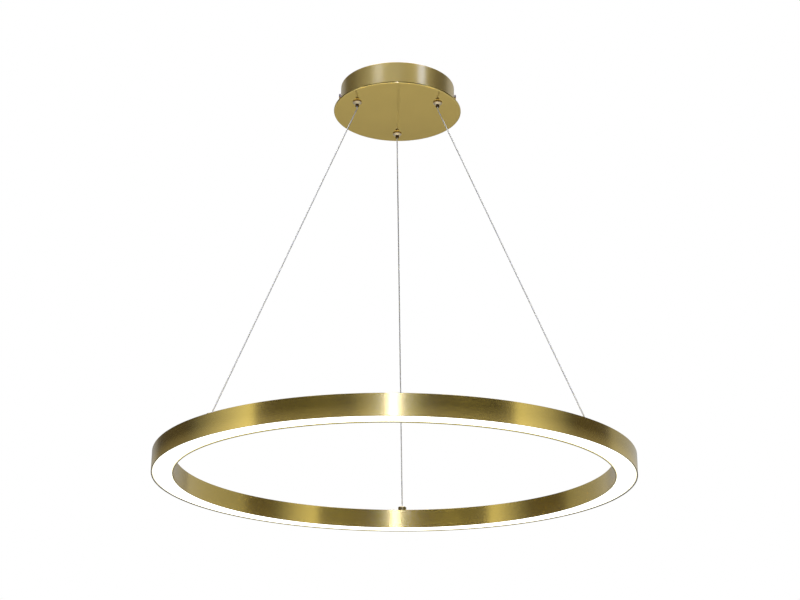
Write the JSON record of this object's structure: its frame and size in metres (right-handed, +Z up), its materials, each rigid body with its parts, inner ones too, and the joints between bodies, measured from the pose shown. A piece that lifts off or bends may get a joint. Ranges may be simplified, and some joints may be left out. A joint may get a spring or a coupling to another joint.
{
  "type": "ring pendant light",
  "caption": "Pendant light: a lit brass ring with an opal diffuser, hung on thin cables with adjustable grips from a round ceiling rose.",
  "frame": {"origin": "centre of the ceiling rose on the ceiling plane, which is also the middle of the bracket's two screw slots", "axes": "+Z up into the ceiling; X along the bracket's two slots and through the two side screws; +Y towards the far cable"},
  "size_m": [0.7999, 0.8, 0.7315],
  "materials": {
    "zinc_steel": "zinc-plated steel, lightly brushed",
    "terminal_brass": "plain turned brass",
    "brushed_brass": "brass brushed round the drum, lacquered",
    "polished_brass": "polished brass",
    "bronze_screw": "dark bronzed brass with a bright slotted end",
    "white_plastic": "moulded white plastic, fine matt texture",
    "circuit_board": "green glass-fibre board with moulded components",
    "mains_insulation": "smooth cable insulation, one brown and one blue",
    "earth_insulation": "smooth cable insulation, green and yellow",
    "low_voltage_insulation": "smooth cable insulation, red and black",
    "cable_steel": "fine stranded stainless steel",
    "clear_jacket": "clear glossy plastic jacket",
    "ring_brass": "aluminium profile with a brass finish, brushed along the ring",
    "opal_diffuser": "opal plastic, satin, lit from behind",
    "light_board": "white solder mask on an aluminium core",
    "light_chip": "phosphor under clear silicone"
  },
  "bodies": {
    "canopy": {"ceiling_bracket": "zinc_steel", "earth_stud": "terminal_brass", "earth_nut": "terminal_brass", "canopy_drum": "brushed_brass", "canopy_plate": "polished_brass", "plate_screws": "zinc_steel", "driver_case": "white_plastic", "driver_lid": "white_plastic", "driver_board": "circuit_board", "floor_screws": "zinc_steel", "terminal_block": "white_plastic", "terminal_screws": "terminal_brass", "mains_leads": "mains_insulation", "earth_lead": "earth_insulation", "output_leads": "low_voltage_insulation", "grip_body_far": "polished_brass", "grip_body_left": "polished_brass", "grip_body_right": "polished_brass", "grip_nuts": "zinc_steel", "grip_washers": "zinc_steel", "grip_wedges": "zinc_steel", "grip_plugs": "polished_brass", "grip_spring_far": "zinc_steel", "grip_spring_left": "zinc_steel", "grip_spring_right": "zinc_steel", "cable_tail_far": "clear_jacket", "cable_tail_left": "clear_jacket", "cable_tail_right": "clear_jacket", "tail_crimps": "zinc_steel"},
    "side_screw_left": {"side_screw_left": "bronze_screw"},
    "side_screw_right": {"side_screw_right": "bronze_screw"},
    "plunger_far": {"plunger_far": "polished_brass", "grip_balls_far": "zinc_steel"},
    "plunger_left": {"plunger_left": "polished_brass", "grip_balls_left": "zinc_steel"},
    "plunger_right": {"plunger_right": "polished_brass", "grip_balls_right": "zinc_steel"},
    "cable_far": {"cable_core_far": "cable_steel", "cable_jacket_far": "clear_jacket"},
    "cable_left": {"cable_core_left": "cable_steel", "cable_jacket_left": "clear_jacket"},
    "cable_right": {"cable_core_right": "cable_steel", "cable_jacket_right": "clear_jacket"},
    "cable_end_far": {"cable_end_far": "zinc_steel"},
    "ring": {"ring_channel": "ring_brass", "diffuser_ring": "opal_diffuser", "led_board_a": "light_board", "led_board_b": "light_board", "led_board_c": "light_board", "led_chips": "light_chip", "anchor_far": "polished_brass", "anchor_left": "polished_brass", "anchor_right": "polished_brass", "anchor_bushes": "white_plastic", "anchor_nuts": "zinc_steel", "anchor_washers": "zinc_steel", "cable_end_left": "zinc_steel", "cable_end_right": "zinc_steel", "ring_leads": "low_voltage_insulation", "board_jumpers": "low_voltage_insulation"}
  },
  "joints": [
    {"name": "side_screw_left_turn", "type": "hinge", "parent": "canopy", "child": "side_screw_left", "pos_m": [-0.103, 0, -0.014], "axis": [-1, 0, 0], "continuous": true},
    {"name": "side_screw_right_turn", "type": "hinge", "parent": "canopy", "child": "side_screw_right", "pos_m": [0.103, 0, -0.014], "axis": [1, 0, 0], "continuous": true},
    {"name": "plunger_far_push", "type": "slide", "parent": "canopy", "child": "plunger_far", "axis": [0, 0, 1], "range_m": [0, 0.003], "stiffness_N_per_m": 300, "springref_m": -0.01, "deforming": ["grip_spring_far"]},
    {"name": "plunger_left_push", "type": "slide", "parent": "canopy", "child": "plunger_left", "axis": [0, 0, 1], "range_m": [0, 0.003], "stiffness_N_per_m": 300, "springref_m": -0.01, "deforming": ["grip_spring_left"]},
    {"name": "plunger_right_push", "type": "slide", "parent": "canopy", "child": "plunger_right", "axis": [0, 0, 1], "range_m": [0, 0.003], "stiffness_N_per_m": 300, "springref_m": -0.01, "deforming": ["grip_spring_right"]},
    {"name": "light_swing", "type": "hinge", "parent": "canopy", "child": "cable_far", "pos_m": [0, 0.083, -0.0605], "axis": [1, 0, 0], "range_deg": [-4, 4]},
    {"name": "left_cable_swing", "type": "hinge", "parent": "canopy", "child": "cable_left", "pos_m": [-0.07188, -0.0415, -0.0605], "axis": [1, 0, 0], "range_deg": [-4, 4]},
    {"name": "right_cable_swing", "type": "hinge", "parent": "canopy", "child": "cable_right", "pos_m": [0.07188, -0.0415, -0.0605], "axis": [1, 0, 0], "range_deg": [-4, 4]},
    {"name": "ring_height", "type": "slide", "parent": "cable_far", "child": "cable_end_far", "axis": [0, 0, 1], "range_m": [0, 0.3], "deforming": ["cable_core_far", "cable_core_left", "cable_core_right", "cable_jacket_far", "cable_jacket_left", "cable_jacket_right"]},
    {"name": "ring_tilt", "type": "hinge", "parent": "cable_end_far", "child": "ring", "pos_m": [0.01513, 0.3767, -0.6965], "axis": [1, 0, 0], "range_deg": [-0.8, 0.8]}
  ],
  "couplings": [
    {"joint": "left_cable_swing", "follows": "light_swing", "ratio": 1},
    {"joint": "right_cable_swing", "follows": "light_swing", "ratio": 1},
    {"joint": "ring_tilt", "follows": "light_swing", "ratio": -0.2}
  ]
}
